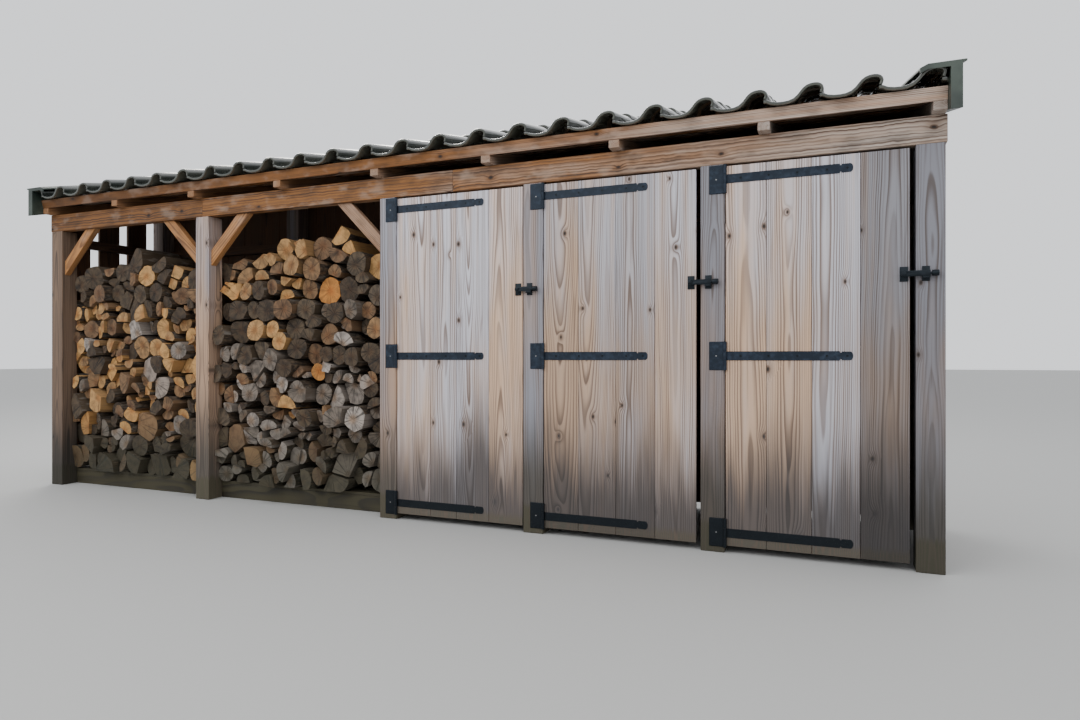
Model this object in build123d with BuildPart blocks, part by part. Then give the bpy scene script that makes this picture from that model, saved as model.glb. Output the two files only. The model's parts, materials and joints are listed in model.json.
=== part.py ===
from build123d import *
import math
import os
import random

os.makedirs("parts", exist_ok=True)

# Log store: two open bays of firewood and three doored cupboards under one tiled mono-pitch roof.
# X runs along the front, Y from the front to the back, Z up. The origin is on the ground, at the
# middle of the length and of the depth. Sizes are in millimetres, angles in degrees.

# Frame
post_size = 120
post_height = 1960
log_bay_left = 1392
log_bay_right = 1408
door_opening_left = 842
door_opening_middle = 867
door_opening_right = 856
frame_depth = 1015
beam_depth = 65
beam_height = 127
beam_overhang = 8
brace_leg = 340
brace_width = 75
brace_thickness = 45
brace_setback = 22

# Roof timbers
roof_pitch = 15
rafter_count = 9
rafter_width = 57
rafter_tail_height = 41
rafter_front_overhang = 65
rafter_rear_overhang = 90
eaves_batten_height = 61
eaves_batten_width = 45
roof_batten_width = 45

# Pantiles
tile_pitch = 250
tile_gauge = 335
tile_lap = 75
tile_thickness = 15
tile_overhang = 30
course_count = 4
roll_height = 68
rising_radius = 75
rising_flank = 42
falling_radius = 37
falling_flank = 78
roll_chords = 2
last_crest_inset = 47
roof_end_gap = 15
seat_gap = 0.3

# Verge trims
verge_overhang = 147
verge_board_thickness = 46
verge_board_height = 199
verge_cap_width = 149
verge_cap_thickness = 10
verge_cap_overhang = 16
verge_cap_clearance = 1
verge_bevel_width = 32
verge_bevel_drop = 15
verge_lip_height = 25
verge_lip_depth = 10

# Walls
cladding_thickness = 22
cladding_foot = 40
slat_width = 178
slat_gap = 79
end_board_count = 5
back_board_count = 32
board_gap = 4
infill_rise = 50
rail_height = 70
rail_thickness = 45
rail_low = 300
rail_head_gap = 30

# Raised floor of the log bays
bearer_height = 98
bearer_width = 70
joist_width = 70
joist_count = 5
deck_thickness = 20
deck_board_count = 6
deck_gap = 12

# Firewood
log_gap = 0.4
log_front_setback = 70
log_front_unevenness = 35
log_back_gap = 15
log_scatter = 0.40
log_stagger = 0.44
log_neighbour_reach = 3
log_corner_length = 20
left_log_sizes = (155, 126, 165)
left_stack_headroom = (250, 190, 165, 230)
right_log_sizes = (140, 132, 178)
right_stack_headroom = (260, 140, 95, 200)

# Doors
door_bottom = 37
door_head_gap = 12
hinge_gap = 6
latch_gap_left = 5
latch_gap_middle = 23
latch_gap_right = 25
door_seams_left = (0.28, 0.49, 0.745)
door_seams_middle = (0.239, 0.492, 0.745)
door_seams_right = (0.235, 0.489, 0.748)
door_board_gap = 2
ledge_height = 95
ledge_thickness = 22
ledge_inset = 40

# T hinges
hinge_inset = 65
hinge_plate_width = 70
hinge_plate_height = 144
iron_thickness = 3
knuckle_radius = 9
knuckle_gap = 0.8
knuckle_sides = 8
strap_length = 590
strap_height = 45
strap_bulb_radius = 20
strap_bulb_sides = 12
strap_neck_height = 24
strap_neck_length = 10

# Lifting latches
latch_level = 1368
latch_plate_width = 35
latch_plate_height = 68
latch_plate_thickness = 4
latch_plate_inset = 7
latch_stand_off = 15
latch_bar_thickness = 8
latch_bar_height = 26
latch_pin_radius = 5
latch_pin_clearance = 0.2
latch_head_radius = 10
latch_head_sides = 6
latch_head_thickness = 3
catch_offset = 24
catch_width = 32
catch_ledge_height = 8
catch_clearance = 1
knob_radius = 14
knob_sides = 12
knob_length = 28
knob_neck_radius = 6
knob_neck_length = 6

# Places that follow from the sizes
clear_widths = [log_bay_left, log_bay_right, door_opening_left, door_opening_middle, door_opening_right]
frame_length = 6 * post_size + sum(clear_widths)
right_end = frame_length / 2
left_end = -right_end
front = -frame_depth / 2
rear = frame_depth / 2
post_lefts = [left_end + i * post_size + sum(clear_widths[:i]) for i in range(6)]
post_rights = [x + post_size for x in post_lefts]
beam_top = post_height + beam_height
slope = math.radians(roof_pitch)
rafter_front = front - rafter_front_overhang
rafter_rear = rear + rafter_rear_overhang
seat_back = front + beam_depth
rafter_plumb = rafter_tail_height + (seat_back - rafter_front) * math.tan(slope)
rail_high = post_height - rail_head_gap - rail_height
rail_levels = (rail_low, (rail_low + rail_high) / 2, rail_high)


def rafter_top(y):
    """Height of the rafters' top edges at a depth."""
    return beam_top + rafter_tail_height + (y - rafter_front) * math.tan(slope)


def rafter_underside(y):
    """Height of the rafters' lower edges at a depth."""
    return rafter_top(y) - rafter_plumb


rear_beam_front = rear - beam_depth
rear_beam_top = rafter_underside(rear)
rear_post_height = rear_beam_top - beam_height

up_slope = Vector(0, math.cos(slope), math.sin(slope))
off_slope = Vector(0, -math.sin(slope), math.cos(slope))
eaves_corner = Vector(0, rafter_front, rafter_top(rafter_front))


def roof_point(along, above):
    """A point so far up the slope from the eaves and so far off the rafters."""
    return eaves_corner + up_slope * along + off_slope * above


def timber(x_range, y_range, z_range):
    """Add a square-edged timber, given its two ends along each axis."""
    middle = [(low + high) / 2 for low, high in (x_range, y_range, z_range)]
    with Locations(tuple(middle)):
        Box(x_range[1] - x_range[0], y_range[1] - y_range[0], z_range[1] - z_range[0])


# Front posts
for i, x in enumerate(post_lefts):
    with BuildPart() as front_post:
        timber((x, x + post_size), (front, front + post_size), (0, post_height))
    front_post.part.label = f"front_post_{i + 1}"
    export_step(front_post.part, f"parts/front_post_{i + 1}.step")

# Rear posts, one behind each front post, taller by the rise of the roof
with BuildPart() as rear_posts:
    for x in post_lefts:
        timber((x, x + post_size), (rear - post_size, rear), (0, rear_post_height))
rear_posts.part.label = "rear_posts"
export_step(rear_posts.part, "parts/rear_posts.step")

# Beams on the posts
with BuildPart() as front_beam:
    timber((left_end - beam_overhang, right_end + beam_overhang), (front, seat_back), (post_height, beam_top))
front_beam.part.label = "front_beam"
export_step(front_beam.part, "parts/front_beam.step")

with BuildPart() as rear_beam:
    timber((left_end, right_end), (rear_beam_front, rear), (rear_post_height, rear_beam_top))
rear_beam.part.label = "rear_beam"
export_step(rear_beam.part, "parts/rear_beam.step")

# Knee braces in the upper corners of the log bays
brace_corners = [(post_rights[0], 1), (post_lefts[1], -1), (post_rights[1], 1), (post_lefts[2], -1)]
brace_inner_leg = brace_leg - brace_width * math.sqrt(2)
with BuildPart() as knee_braces:
    for x, side in brace_corners:
        with BuildSketch(Plane.XZ.offset(-(front + brace_setback))):
            with BuildLine():
                Polyline(
                    (x, post_height - brace_leg),
                    (x + side * brace_leg, post_height),
                    (x + side * brace_inner_leg, post_height),
                    (x, post_height - brace_inner_leg),
                    close=True,
                )
            make_face()
        extrude(amount=-brace_thickness)
knee_braces.part.label = "knee_braces"
export_step(knee_braces.part, "parts/knee_braces.step")

# Rafters, notched to lie level on both beams
rafter_step = (frame_length - rafter_width) / (rafter_count - 1)
rafter_lefts = [left_end + i * rafter_step for i in range(rafter_count)]
with BuildPart() as rafters:
    for x in rafter_lefts:
        with BuildSketch(Plane.YZ.offset(x)):
            with BuildLine():
                Polyline(
                    (rafter_front, beam_top),
                    (seat_back, beam_top),
                    (rear_beam_front, rafter_underside(rear_beam_front)),
                    (rear_beam_front, rear_beam_top),
                    (rear, rear_beam_top),
                    (rafter_rear, rafter_underside(rafter_rear)),
                    (rafter_rear, rafter_top(rafter_rear)),
                    (rafter_front, rafter_top(rafter_front)),
                    close=True,
                )
            make_face()
        extrude(amount=rafter_width)
rafters.part.label = "rafters"
export_step(rafters.part, "parts/rafters.step")

# Pantile section: a flat trough, a long rising flank, then a roll that is broad on that side and tight on the
# other, where it drops almost plumb. Each side of the roll is a few chords of its own arc.
rise = math.radians(rising_flank)
fall = math.radians(falling_flank)


def flank_foot(radius, flank):
    """How far from the crest a flank reaches the trough."""
    return radius * math.sin(flank) + (roll_height - radius * (1 - math.cos(flank))) / math.tan(flank)


def wave_points(crest_x, base):
    """Points along one tile's curve, from its trough over its roll, with the crest at crest_x."""
    crest_z = base + roll_height
    points = [(crest_x + flank_foot(falling_radius, fall) - tile_pitch, base)]
    points.append((crest_x - flank_foot(rising_radius, rise), base))
    for radius, headings in (
        (rising_radius, [rise * (1 - i / roll_chords) for i in range(roll_chords)]),
        (falling_radius, [-fall * i / roll_chords for i in range(roll_chords + 1)]),
    ):
        for heading in headings:
            points.append((crest_x - radius * math.sin(heading), crest_z - radius * (1 - math.cos(heading))))
    return points


# Roof courses: each lies with its tail on the head of the one below, so it is laid flatter than the roof
course_tilt = math.asin((tile_thickness + seat_gap) / tile_gauge)
tile_slope = slope - course_tilt
down_tile = (0, -math.cos(tile_slope), -math.sin(tile_slope))
tail_height = (
    eaves_batten_height + seat_gap + (eaves_batten_width + tile_overhang) * math.tan(course_tilt)
)
wave_count = math.ceil(frame_length / tile_pitch) + 2
last_crest = right_end - last_crest_inset
first_crest = last_crest + tile_pitch - (wave_count - 1) * tile_pitch
roof_rear = rear + verge_overhang - verge_lip_depth
roof_end = (roof_rear - rafter_front + tail_height * math.sin(slope)) / math.cos(slope) - roof_end_gap


def tile_underside(along):
    """Height off the rafters of a course's underside, so far up the slope from its tail."""
    return tail_height - along * math.tan(course_tilt)


course_tails = [-tile_overhang + i * tile_gauge for i in range(course_count)]
course_lengths = [tile_gauge + tile_lap] * (course_count - 1) + [roof_end - course_tails[-1]]
for i, (tail, length) in enumerate(zip(course_tails, course_lengths)):
    with BuildPart() as roof_course:
        with BuildSketch(Plane(roof_point(tail, tail_height), x_dir=(1, 0, 0), z_dir=down_tile)):
            with BuildLine():
                upper = []
                for wave in range(wave_count):
                    upper += wave_points(first_crest + wave * tile_pitch, tile_thickness)
                lower = [(x, z - tile_thickness) for x, z in upper]
                Polyline(*upper, *reversed(lower), close=True)
            make_face()
            Rectangle(frame_length, 2 * (roll_height + tile_thickness), mode=Mode.INTERSECT)
        extrude(amount=-length)
    roof_course.part.label = f"roof_course_{i + 1}"
    export_step(roof_course.part, f"parts/roof_course_{i + 1}.step")

# Eaves batten under the first course's tails, and a roof batten under each course's head
with BuildPart() as eaves_batten:
    with BuildSketch(Plane(eaves_corner + Vector(left_end, 0, 0), x_dir=up_slope, z_dir=(1, 0, 0))):
        Rectangle(eaves_batten_width, eaves_batten_height, align=(Align.MIN, Align.MIN))
    extrude(amount=frame_length)
eaves_batten.part.label = "eaves_batten"
export_step(eaves_batten.part, "parts/eaves_batten.step")

head_margin = (tile_lap - roof_batten_width) / 2
with BuildPart() as roof_battens:
    for tail, length in zip(course_tails, course_lengths):
        upper_edge = length - head_margin
        height = tile_underside(upper_edge) - seat_gap
        corner = roof_point(tail + upper_edge - roof_batten_width, 0) + Vector(left_end, 0, 0)
        with BuildSketch(Plane(corner, x_dir=up_slope, z_dir=(1, 0, 0))):
            Rectangle(roof_batten_width, height, align=(Align.MIN, Align.MIN))
        extrude(amount=frame_length)
roof_battens.part.label = "roof_battens"
export_step(roof_battens.part, "parts/roof_battens.step")

# Verge trims: a board against the end rafter, with a cap over the last roll, cut plumb at both ends
crest_height = tail_height + (roll_height + tile_thickness) * math.cos(course_tilt)
cap_underside = (crest_height + verge_cap_clearance) / math.cos(slope)
trim_front = front - verge_overhang
trim_length = (frame_depth + 2 * verge_overhang) / math.cos(slope)
for name, side in (("verge_trim_left", -1), ("verge_trim_right", 1)):
    inner = right_end + seat_gap
    outer = inner + verge_board_thickness
    cap_outer = outer + verge_cap_overhang
    cap_inner = cap_outer - verge_cap_width
    under = rafter_top(trim_front) + cap_underside
    top = under + verge_cap_thickness
    with BuildPart() as verge_trim:
        with BuildSketch(Plane.XZ.offset(-trim_front)):
            with BuildLine():
                Polyline(
                    (side * inner, under),
                    (side * inner, under - verge_board_height),
                    (side * outer, under - verge_board_height),
                    (side * outer, under),
                    (side * cap_outer, under),
                    (side * cap_outer, top),
                    (side * cap_inner, top),
                    (side * (cap_inner - verge_bevel_width), top - verge_bevel_drop),
                    (side * (cap_inner - verge_bevel_width), under - verge_bevel_drop),
                    (side * cap_inner, under),
                    close=True,
                )
            make_face()
        extrude(amount=trim_length, dir=up_slope)
        with BuildSketch(Plane.XZ.offset(-trim_front)):
            with BuildLine():
                Polyline(
                    (side * inner, under),
                    (side * cap_inner, under),
                    (side * (cap_inner - verge_bevel_width), under - verge_bevel_drop),
                    (side * (cap_inner - verge_bevel_width), top - verge_bevel_drop - verge_lip_height),
                    (side * cap_inner, top - verge_lip_height),
                    (side * inner, top - verge_lip_height),
                    close=True,
                )
            make_face()
        extrude(amount=verge_lip_depth, dir=up_slope)
    verge_trim.part.label = name
    export_step(verge_trim.part, f"parts/{name}.step")

# Rails between the front and rear posts of each end, and between the rear posts
with BuildPart() as end_rails:
    for x_range in (
        (left_end + cladding_thickness, left_end + cladding_thickness + rail_thickness),
        (right_end - cladding_thickness - rail_thickness, right_end - cladding_thickness),
    ):
        for z in rail_levels:
            timber(x_range, (front + post_size, rear - post_size), (z, z + rail_height))
end_rails.part.label = "end_rails"
export_step(end_rails.part, "parts/end_rails.step")

with BuildPart() as back_rails:
    for x_from, x_to in zip(post_rights, post_lefts[1:]):
        for z in rail_levels:
            timber((x_from, x_to), (rear - rail_thickness, rear), (z, z + rail_height))
back_rails.part.label = "back_rails"
export_step(back_rails.part, "parts/back_rails.step")


# End cladding between the corner posts: spaced slats on the left, close boards on the right
end_from = front + post_size
end_to = rear - post_size
slat_count = int((end_to - end_from) // (slat_width + slat_gap))
end_board_width = (end_to - end_from + board_gap) / end_board_count - board_gap
end_claddings = (
    ("left_slats", left_end, slat_count, slat_width, slat_gap),
    ("right_boards", right_end - cladding_thickness, end_board_count, end_board_width, board_gap),
)
for name, x, count, width, gap in end_claddings:
    with BuildPart() as end_cladding:
        for i in range(count):
            y_from = end_from + i * (width + gap)
            y_to = y_from + width
            with BuildSketch(Plane.YZ.offset(x)):
                with BuildLine():
                    Polyline(
                        (y_from, cladding_foot),
                        (y_to, cladding_foot),
                        (y_to, rafter_underside(y_to)),
                        (y_from, rafter_underside(y_from)),
                        close=True,
                    )
                make_face()
            extrude(amount=cladding_thickness)
    end_cladding.part.label = name
    export_step(end_cladding.part, f"parts/{name}.step")

# Back cladding outside the rear posts, and short boards that close the gaps between the rafters over the beam
back_board_step = (frame_length + board_gap) / back_board_count
infill_front = rear - cladding_thickness
with BuildPart() as back_boards:
    for i in range(back_board_count):
        x = left_end + i * back_board_step
        timber(
            (x, x + back_board_step - board_gap),
            (rear, rear + cladding_thickness),
            (cladding_foot, rear_beam_top),
        )
    for x_from, x_to in zip(rafter_lefts, rafter_lefts[1:]):
        timber(
            (x_from + rafter_width, x_to),
            (infill_front, rear),
            (rear_beam_top, rafter_top(infill_front) + infill_rise),
        )
back_boards.part.label = "back_boards"
export_step(back_boards.part, "parts/back_boards.step")

# Raised floor of the log bays: bearers along the front and back, joists between them, boards on top
floor_from = left_end + cladding_thickness
floor_to = post_rights[2]
floor_front = front + post_size
floor_back = rear - post_size
deck_top = bearer_height + deck_thickness
with BuildPart() as floor_bearers:
    for y in (floor_front, floor_back - bearer_width):
        timber((floor_from, floor_to), (y, y + bearer_width), (0, bearer_height))
    joist_step = (floor_to - floor_from - joist_width) / (joist_count - 1)
    for i in range(joist_count):
        x = floor_from + i * joist_step
        between_bearers = (floor_front + bearer_width, floor_back - bearer_width)
        timber((x, x + joist_width), between_bearers, (0, bearer_height))
floor_bearers.part.label = "floor_bearers"
export_step(floor_bearers.part, "parts/floor_bearers.step")

deck_step = (floor_back - floor_front + deck_gap) / deck_board_count
with BuildPart() as floor_boards:
    for i in range(deck_board_count):
        y = floor_front + i * deck_step
        timber((floor_from, floor_to), (y, y + deck_step - deck_gap), (bearer_height, deck_top))
floor_boards.part.label = "floor_boards"
export_step(floor_boards.part, "parts/floor_boards.step")


# Firewood: each log fills its own convex share of the stack, found by halving the way to its neighbours
def clipped(outline, normal, limit):
    """The part of a convex outline on the near side of a line."""
    kept = []
    for (ax, az), (bx, bz) in zip(outline, outline[1:] + outline[:1]):
        a = ax * normal[0] + az * normal[1] - limit
        b = bx * normal[0] + bz * normal[1] - limit
        if a <= 0:
            kept.append((ax, az))
        if a * b < 0:
            kept.append((ax + (bx - ax) * a / (a - b), az + (bz - az) * a / (a - b)))
    return kept


def between(values, share):
    """The value a share of the way along a row of evenly spaced ones."""
    place = min(max(share, 0), 1) * (len(values) - 1)
    i = min(int(place), len(values) - 2)
    return values[i] + (values[i + 1] - values[i]) * (place - i)


def log_sites(x_from, x_to, top, sizes, seed):
    """Scattered log centres, each with its size, in staggered rows that reach above the stack's top."""
    draw = random.Random(seed)
    sites = []
    row_foot = deck_top
    row = 0
    while row_foot < top + sizes[-1]:
        size = between(sizes, (row_foot - deck_top) / (post_height - deck_top))
        column_count = round((x_to - x_from) / size)
        step = (x_to - x_from) / column_count
        for column in range(column_count):
            x = x_from + (column + 0.5 + log_stagger * (row % 2 - 0.5)) * step
            z = row_foot + size / 2
            scatter = [draw.uniform(-1, 1) * log_scatter * step for i in range(2)]
            sites.append((x + scatter[0], z + scatter[1], size))
        row_foot += size
        row += 1
    return sites


def log_outline(site, sites, x_from, x_to, top):
    """The outline of one log's share, without its shortest sides."""
    outline = [(x_from, deck_top), (x_to, deck_top), (x_to, top), (x_from, top)]
    for other in sites:
        across = math.dist(site[:2], other[:2])
        if 0 < across < log_neighbour_reach * site[2]:
            normal = ((other[0] - site[0]) / across, (other[1] - site[1]) / across)
            half_way = (site[0] + other[0]) / 2 * normal[0] + (site[1] + other[1]) / 2 * normal[1]
            outline = clipped(outline, normal, half_way - log_gap / 2)
    earlier = outline[-1:] + outline
    return [corner for corner, last in zip(outline, earlier) if math.dist(corner, last) > log_corner_length]


stacks = (
    (
        "log_stack_left",
        left_end + cladding_thickness + rail_thickness,
        post_lefts[1],
        left_log_sizes,
        left_stack_headroom,
        5,
    ),
    ("log_stack_right", post_rights[1], post_lefts[2], right_log_sizes, right_stack_headroom, 11),
)
front_behind_post = front + post_size + seat_gap
front_behind_brace = front + brace_setback + brace_thickness + seat_gap
deepest_front = max(front_behind_post, front + log_front_setback + log_front_unevenness)
log_length = rear - post_size - log_back_gap - deepest_front
for name, bay_from, bay_to, sizes, headroom, seed in stacks:
    x_from = bay_from + seat_gap
    x_to = bay_to - seat_gap
    face_from = max(bay_from, post_rights[0])
    limit = post_height - min(headroom) + sizes[-1]
    sites = log_sites(x_from, x_to, limit, sizes, seed)
    draw = random.Random(seed + 1)
    with BuildPart() as log_stack:
        for site in sites:
            top = post_height - between(headroom, (site[0] - x_from) / (x_to - x_from))
            log_front = front + log_front_setback + draw.uniform(-1, 1) * log_front_unevenness
            if site[1] + site[2] / 2 > top:
                continue
            outline = log_outline(site, sites, x_from, x_to, limit)
            to_brace = min(min(x - face_from, bay_to - x) + post_height - z for x, z in outline)
            if to_brace < brace_leg:
                log_front = max(log_front, front_behind_brace)
            if min(x for x, z in outline) < post_rights[0]:
                log_front = front_behind_post
            with BuildSketch(Plane.XZ.offset(-log_front)):
                with BuildLine():
                    Polyline(*outline, close=True)
                make_face()
        extrude(amount=-log_length)
    log_stack.part.label = name
    export_step(log_stack.part, f"parts/{name}.step")

# Doors
door_top = post_height - door_head_gap
latch_gaps = (latch_gap_left, latch_gap_middle, latch_gap_right)
door_seams = (door_seams_left, door_seams_middle, door_seams_right)
hinge_levels = (door_bottom + hinge_inset, (door_bottom + door_top) / 2, door_top - hinge_inset)
pin_y = front - knuckle_radius
knuckle_height = strap_height
hinge_pins = [post_rights[i] + hinge_gap / 2 for i in (2, 3, 4)]
door_lefts = [post_rights[i] + hinge_gap for i in (2, 3, 4)]
door_rights = [post_lefts[i + 3] - gap for i, gap in enumerate(latch_gaps)]

# Fixed halves of the hinges: a plate on the post, with a knuckle above and one below the strap's
with BuildPart() as hinge_plates:
    for pin_x in hinge_pins:
        for level in hinge_levels:
            end_height = (hinge_plate_height - knuckle_height) / 2 - knuckle_gap
            plate_right = pin_x - knuckle_radius - knuckle_gap
            timber(
                (pin_x - knuckle_radius - hinge_plate_width, plate_right),
                (front - iron_thickness, front),
                (level - hinge_plate_height / 2, level + hinge_plate_height / 2),
            )
            for z in (level - hinge_plate_height / 2, level + hinge_plate_height / 2 - end_height):
                timber((plate_right, pin_x), (front - iron_thickness, front), (z, z + end_height))
                with BuildSketch(Plane.XY.offset(z)):
                    with Locations((pin_x, pin_y)):
                        RegularPolygon(knuckle_radius, knuckle_sides)
                extrude(amount=end_height)
hinge_plates.part.label = "hinge_plates"
export_step(hinge_plates.part, "parts/hinge_plates.step")

for i in range(3):
    pin_x = hinge_pins[i]
    door_left = door_lefts[i]
    door_right = door_rights[i]
    number = i + 1

    # Boards of the leaf, of the widths that its seams leave
    seams = [door_left + (door_right - door_left) * share for share in door_seams[i]]
    with BuildPart() as door_boards:
        for x_from, x_to in zip([door_left] + seams, seams + [door_right]):
            timber(
                (x_from + (door_board_gap if x_from > door_left else 0), x_to),
                (front, front + cladding_thickness),
                (door_bottom, door_top),
            )
    door_boards.part.label = f"door_{number}_boards"
    export_step(door_boards.part, f"parts/door_{number}_boards.step")

    # Ledges across the back of the boards, behind the straps
    with BuildPart() as door_ledges:
        for level in hinge_levels:
            timber(
                (door_left + ledge_inset, door_right - ledge_inset),
                (front + cladding_thickness, front + cladding_thickness + ledge_thickness),
                (level - ledge_height / 2, level + ledge_height / 2),
            )
    door_ledges.part.label = f"door_{number}_ledges"
    export_step(door_ledges.part, f"parts/door_{number}_ledges.step")

    # Straps: a long bar with a knuckle at the pin, a neck and a rounded end
    with BuildPart() as door_straps:
        for level in hinge_levels:
            with BuildSketch(Plane.XY.offset(level - knuckle_height / 2)):
                with Locations((pin_x, pin_y)):
                    RegularPolygon(knuckle_radius, knuckle_sides)
            extrude(amount=knuckle_height)
            strap_end = pin_x + strap_length
            bulb_centre = strap_end - strap_bulb_radius
            neck_from = bulb_centre - strap_bulb_radius - strap_neck_length
            with BuildSketch(Plane.XZ.offset(-(front - iron_thickness))):
                with Locations(((pin_x + neck_from) / 2, level)):
                    Rectangle(neck_from - pin_x, strap_height)
                with Locations(((neck_from + bulb_centre) / 2, level)):
                    Rectangle(bulb_centre - neck_from, strap_neck_height)
                with Locations((bulb_centre, level)):
                    RegularPolygon(strap_bulb_radius, strap_bulb_sides)
            extrude(amount=-iron_thickness)
    door_straps.part.label = f"door_{number}_straps"
    export_step(door_straps.part, f"parts/door_{number}_straps.step")

    # Latch: a plate and pin on the door, a bar that lifts about the pin, and a catch on the post
    pivot_x = door_right - latch_plate_inset - latch_plate_width / 2
    bar_back = front - latch_stand_off
    bar_front = bar_back - latch_bar_thickness
    with BuildPart() as latch_plate:
        timber(
            (pivot_x - latch_plate_width / 2, pivot_x + latch_plate_width / 2),
            (front - latch_plate_thickness, front),
            (latch_level - latch_plate_height / 2, latch_level + latch_plate_height / 2),
        )
        with BuildSketch(Plane.XZ.offset(-(front - latch_plate_thickness))):
            with Locations((pivot_x, latch_level)):
                RegularPolygon(latch_head_radius, latch_head_sides)
        extrude(amount=latch_stand_off - latch_plate_thickness - seat_gap)
        with BuildSketch(Plane.XZ.offset(-(front - latch_plate_thickness))):
            with Locations((pivot_x, latch_level)):
                Circle(latch_pin_radius)
        extrude(amount=front - latch_plate_thickness - bar_front + seat_gap)
        with BuildSketch(Plane.XZ.offset(-(bar_front - seat_gap))):
            with Locations((pivot_x, latch_level)):
                RegularPolygon(latch_head_radius, latch_head_sides)
        extrude(amount=latch_head_thickness)
    latch_plate.part.label = f"door_{number}_latch_plate"
    export_step(latch_plate.part, f"parts/door_{number}_latch_plate.step")

    catch_left = post_lefts[number + 2] + catch_offset
    bar_end = catch_left + catch_width + catch_clearance
    with BuildPart() as latch_bar:
        with BuildSketch(Plane.XZ.offset(-bar_back)):
            with Locations(((pivot_x + bar_end) / 2, latch_level)):
                Rectangle(bar_end - pivot_x, latch_bar_height)
            with Locations((pivot_x, latch_level)):
                Circle(latch_bar_height / 2)
                Circle(latch_pin_radius + latch_pin_clearance, mode=Mode.SUBTRACT)
        extrude(amount=latch_bar_thickness)
        for radius, x, length in (
            (knob_neck_radius, bar_end, knob_neck_length),
            (knob_radius, bar_end + knob_neck_length, knob_length),
        ):
            with BuildSketch(Plane.YZ.offset(x)):
                with Locations((bar_back - latch_bar_thickness / 2, latch_level)):
                    RegularPolygon(radius, knob_sides)
            extrude(amount=length)
    latch_bar.part.label = f"latch_bar_{number}"
    export_step(latch_bar.part, f"parts/latch_bar_{number}.step")

# Catches: a plate on the post with a ledge under the bar, open towards the front and the top
ledge_top = latch_level - latch_bar_height / 2 - catch_clearance
with BuildPart() as latch_catches:
    for x in post_lefts[3:]:
        timber(
            (x + catch_offset, x + catch_offset + catch_width),
            (front - latch_plate_thickness, front),
            (latch_level - latch_plate_height / 2, latch_level + latch_plate_height / 2),
        )
        timber(
            (x + catch_offset, x + catch_offset + catch_width),
            (front - latch_stand_off - latch_bar_thickness, front - latch_plate_thickness),
            (ledge_top - catch_ledge_height, ledge_top),
        )
latch_catches.part.label = "latch_catches"
export_step(latch_catches.part, "parts/latch_catches.step")
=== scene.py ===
import json
import math
import random

import bpy
import numpy as np
from mathutils import Matrix, Vector, noise

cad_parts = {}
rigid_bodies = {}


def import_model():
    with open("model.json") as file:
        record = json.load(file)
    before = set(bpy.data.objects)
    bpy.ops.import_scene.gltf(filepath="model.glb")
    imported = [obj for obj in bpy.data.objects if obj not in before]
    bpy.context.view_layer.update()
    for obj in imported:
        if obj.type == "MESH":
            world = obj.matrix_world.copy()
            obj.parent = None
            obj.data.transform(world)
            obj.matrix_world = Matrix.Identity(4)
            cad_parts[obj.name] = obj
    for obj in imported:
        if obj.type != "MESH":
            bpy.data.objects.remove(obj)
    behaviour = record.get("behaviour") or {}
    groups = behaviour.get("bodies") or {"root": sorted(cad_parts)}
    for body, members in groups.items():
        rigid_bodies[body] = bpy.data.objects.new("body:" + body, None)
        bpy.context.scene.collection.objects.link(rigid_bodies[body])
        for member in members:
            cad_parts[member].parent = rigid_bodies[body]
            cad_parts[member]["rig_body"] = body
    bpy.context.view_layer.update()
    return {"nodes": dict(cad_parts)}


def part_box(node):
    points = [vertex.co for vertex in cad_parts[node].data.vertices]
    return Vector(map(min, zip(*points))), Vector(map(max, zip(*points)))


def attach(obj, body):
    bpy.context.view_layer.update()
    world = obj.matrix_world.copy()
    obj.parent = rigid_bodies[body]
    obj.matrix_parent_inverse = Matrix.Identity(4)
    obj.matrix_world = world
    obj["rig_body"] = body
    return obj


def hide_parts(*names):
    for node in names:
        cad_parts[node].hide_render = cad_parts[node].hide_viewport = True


# The log store's looks: weathered timber, glazed pantiles, black ironwork and two stacks of firewood.
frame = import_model()
bpy.ops.object.select_all(action="DESELECT")

# Photograph: its size in pixels, and the camera worked out from it
photo_width = 1080
photo_height = 720
focal_pixels = 712
horizon_above_middle = 3
right_of_photo = 2.2
camera_place = (2.567, -4.1825, 0.987)
camera_turn = 22.45

# Roof covering
roof_pitch = math.radians(15)
tile_pitch = 0.25
tile_gauge = 0.335
tile_rise = 0.0153
tile_depth = 0.083
tile_shell = 0.0135
tile_section = (
    (-0.232, -0.052), (-0.216, -0.055), (-0.196, -0.062), (-0.170, -0.067), (-0.145, -0.068),
    (-0.120, -0.066), (-0.098, -0.059), (-0.081, -0.046), (-0.068, -0.031), (-0.055, -0.017),
    (-0.040, -0.007), (-0.022, -0.0015), (-0.004, 0), (0.012, -0.002), (0.025, -0.008),
    (0.034, -0.018), (0.037, -0.031), (0.034, -0.043), (0.029, -0.052),
)
tile_askew = 0.25
tile_stagger = 0.002
last_crest_inset = 0.047

# Ironwork
iron_thickness = 0.003
knuckle_radius = 0.009
strap_height = 0.045
bulb_half = 0.0205
bulb_round = 0.0125
bulb_length = 0.050
neck_height = 0.030
neck_length = 0.009
screw_radius = 0.0055
screw_step = 0.133
first_screw_inset = 0.115
plate_screw_radius = 0.0036
plate_screw_spread = 0.018
plate_screw_inset = 0.02
screw_seat = 0.0008

# Firewood
log_sides = 16
log_ring = 0.1
front_row_length = 0.33
row_gap = 0.05
bark_thickness = 0.08
bark_place, split_place, cut_place = 0, 1, 2
brace_foot = 1.4

merge_distance = 0.00005


def arithmetic(operation, backwards=False):
    """A sign of arithmetic between two values, or a value and a number, as a Math node."""

    def worked_out(value, other):
        first, second = (other, value) if backwards else (value, other)
        return value.finish.node("Math", {"operation": operation}, {0: first, 1: second})

    return worked_out


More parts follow.
